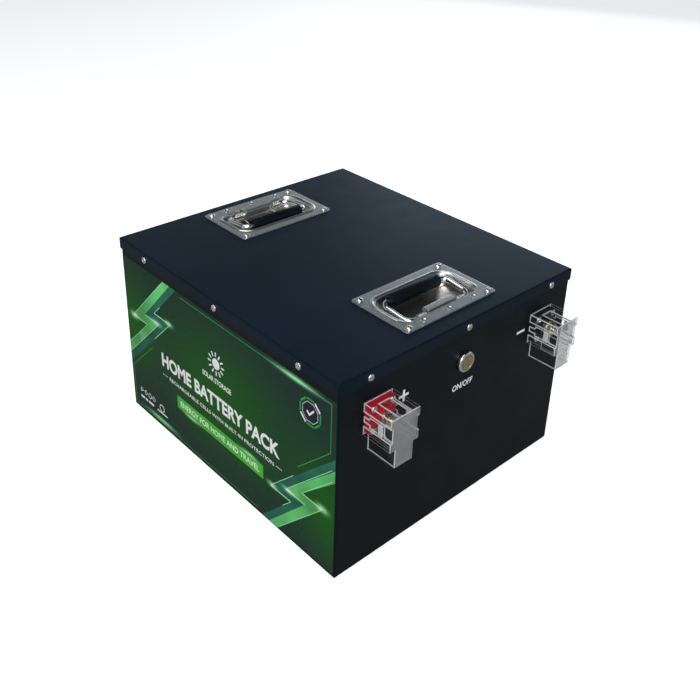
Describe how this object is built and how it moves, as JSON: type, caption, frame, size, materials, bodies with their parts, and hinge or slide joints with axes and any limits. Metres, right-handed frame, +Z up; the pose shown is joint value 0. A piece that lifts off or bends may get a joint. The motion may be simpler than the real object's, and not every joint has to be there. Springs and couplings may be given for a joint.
{
  "type": "battery pack",
  "caption": "Rechargeable battery pack in a sheet-metal case with a shoebox lid, recessed folding handles, a push button and covered stud terminals.",
  "frame": {"origin": "centre of the case's bottom face, which the pack stands on", "axes": "+Z up, -Y out of the face with the terminals and the button, +X to the right seen from that face, -X out of the labelled side"},
  "size_m": [0.368, 0.4398, 0.2516],
  "materials": {
    "case_powder_coat": "satin powder coat, fine texture",
    "lid_powder_coat": "satin powder coat, fine texture",
    "foam_rubber": "matt closed-cell rubber",
    "zinc_screw": "bright zinc",
    "zinc_nut": "zinc plated",
    "label_film": "glossy printed film",
    "handle_plate_steel": "nickel-plated pressed steel",
    "handle_wire_chrome": "bright chrome",
    "grip_rubber": "matt black rubber",
    "spring_steel": "spring wire",
    "button_chrome": "polished",
    "button_nickel": "satin nickel",
    "black_plastic": "moulded",
    "red_plastic": "moulded",
    "white_plastic": "moulded",
    "terminal_nickel": "nickel plated",
    "clear_cover": "clear moulded polycarbonate",
    "white_print": "screen print",
    "foam_board": "closed-cell foam",
    "cell_sleeve": "blue shrink sleeve",
    "insulation_board": "glass-fibre board",
    "alloy_plate": "mill finish",
    "strap_steel": "steel band",
    "tinned_busbar": "tinned",
    "black_alloy": "black anodised",
    "ribbon_jacket": "grey ribbon",
    "red_jacket": "silicone jacket",
    "black_jacket": "silicone jacket"
  },
  "bodies": {
    "root": {"case_shell": "case_powder_coat", "lid_cover": "lid_powder_coat", "lid_seal": "foam_rubber", "lid_screws": "zinc_screw", "lid_clinch_nuts": "zinc_nut", "side_label": "label_film", "front_handle_plate": "handle_plate_steel", "front_hinge_knuckle": "handle_plate_steel", "front_return_springs": "spring_steel", "front_hinge_rivets": "handle_plate_steel", "rear_handle_plate": "handle_plate_steel", "rear_hinge_knuckle": "handle_plate_steel", "rear_return_springs": "spring_steel", "rear_hinge_rivets": "handle_plate_steel", "handle_screws": "zinc_screw", "handle_lock_nuts": "zinc_nut", "button_body": "button_chrome", "button_spring": "spring_steel", "button_seal": "foam_rubber", "button_nut": "zinc_nut", "button_switch_block": "black_plastic", "positive_terminal_base": "red_plastic", "negative_terminal_base": "black_plastic", "terminal_studs": "terminal_nickel", "terminal_washers": "terminal_nickel", "terminal_nuts": "terminal_nickel", "terminal_base_screws": "zinc_screw", "terminal_base_nuts": "zinc_nut", "front_markings": "white_print", "bottom_pad": "foam_board", "front_cell_row": "cell_sleeve", "rear_cell_row": "cell_sleeve", "cell_separators": "insulation_board", "row_divider": "insulation_board", "end_plates": "alloy_plate", "pack_straps": "strap_steel", "busbars": "tinned_busbar", "busbar_nuts": "zinc_nut", "top_insulation": "insulation_board", "side_foam": "foam_board", "rear_foam": "foam_board", "lid_foam": "foam_board", "bms_housing": "black_alloy", "bms_bracket": "alloy_plate", "bms_screws": "zinc_screw", "balance_plug": "white_plastic", "balance_ribbon": "ribbon_jacket", "positive_cable": "red_jacket", "pack_negative_cable": "black_jacket", "load_negative_cable": "black_jacket", "cable_lugs": "terminal_nickel", "button_leads": "red_jacket"},
    "front_bail": {"front_handle_bail": "handle_wire_chrome", "front_handle_grip": "grip_rubber"},
    "rear_bail": {"rear_handle_bail": "handle_wire_chrome", "rear_handle_grip": "grip_rubber"},
    "button_plunger": {"button_cap": "button_nickel"},
    "positive_cover": {"positive_terminal_cover": "clear_cover"},
    "negative_cover": {"negative_terminal_cover": "clear_cover"}
  },
  "joints": [
    {"name": "front_handle_lift", "type": "hinge", "parent": "root", "child": "front_bail", "pos_m": [0, -0.1595, 0.2395], "axis": [1, 0, 0], "range_deg": [0, 90], "stiffness_Nm_per_rad": 0.25, "springref_deg": -28.65},
    {"name": "rear_handle_lift", "type": "hinge", "parent": "root", "child": "rear_bail", "pos_m": [0, 0.1655, 0.2395], "axis": [-1, 0, 0], "range_deg": [0, 90], "stiffness_Nm_per_rad": 0.25, "springref_deg": -28.65},
    {"name": "button_press", "type": "slide", "parent": "root", "child": "button_plunger", "axis": [0, 1, 0], "range_m": [0, 0.002], "stiffness_N_per_m": 900, "springref_m": -0.002, "deforming": ["button_spring"]},
    {"name": "positive_cover_pull", "type": "slide", "parent": "root", "child": "positive_cover", "axis": [0, -1, 0], "range_m": [0, 0.045]},
    {"name": "negative_cover_pull", "type": "slide", "parent": "root", "child": "negative_cover", "axis": [0, -1, 0], "range_m": [0, 0.045]}
  ]
}
